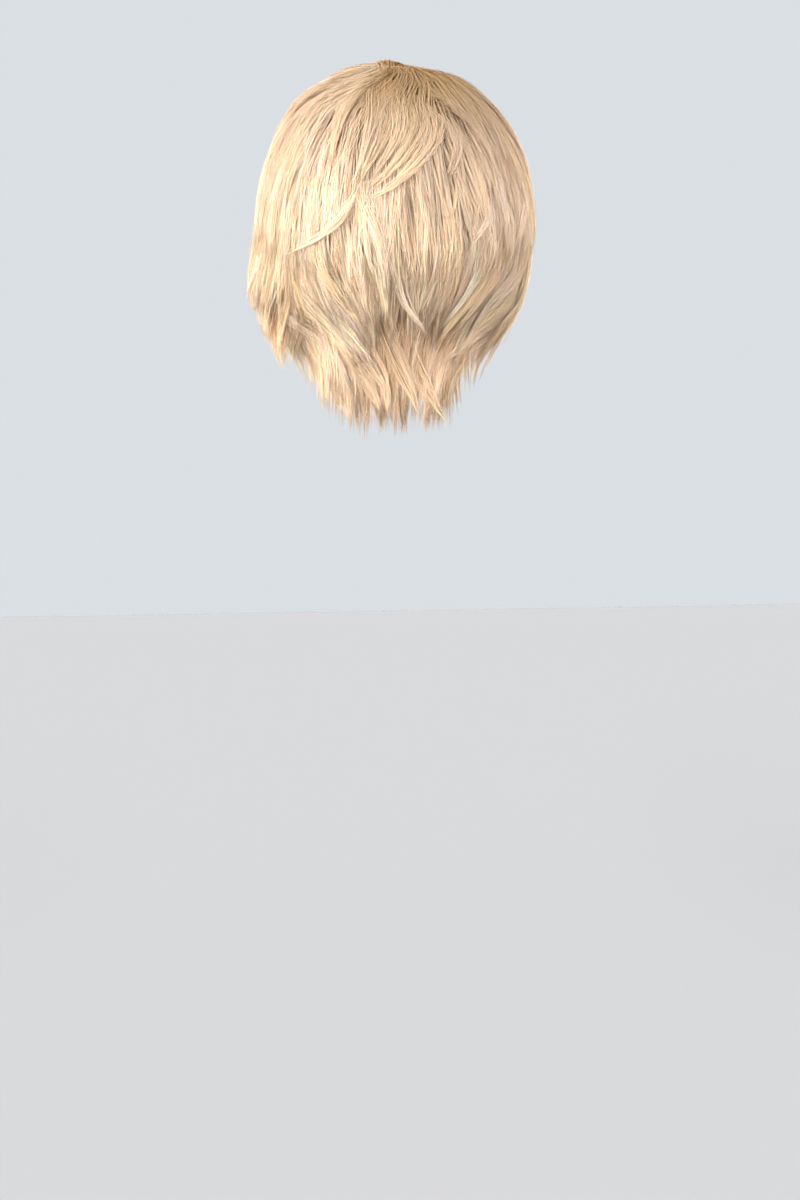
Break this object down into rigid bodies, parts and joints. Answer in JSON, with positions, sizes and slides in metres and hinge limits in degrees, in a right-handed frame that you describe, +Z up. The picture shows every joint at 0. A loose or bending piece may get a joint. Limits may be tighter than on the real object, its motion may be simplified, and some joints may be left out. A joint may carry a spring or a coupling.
{
  "type": "cosplay wig",
  "caption": "Short layered wig: a stretch cap that fits over a head, with bands of straight blonde hair that spread from a whorl at the crown and taper at the nape.",
  "frame": {"origin": "inside of the cap at the top of the head, where the wig sits", "axes": "+Z up out of the head, -Y towards the face, +X towards the wearer's left"},
  "size_m": [0.1901, 0.2191, 0.2463],
  "materials": {
    "hair": "straight synthetic fibre, light golden blonde, soft sheen",
    "cap_net": "matt stretch net in a blonde shade"
  },
  "bodies": {
    "root": {"wig_cap": "cap_net", "hair_crown": "hair", "hair_fringe": "hair", "hair_side_left": "hair", "hair_side_right": "hair", "hair_back": "hair", "hair_nape": "hair"}
  },
  "joints": []
}
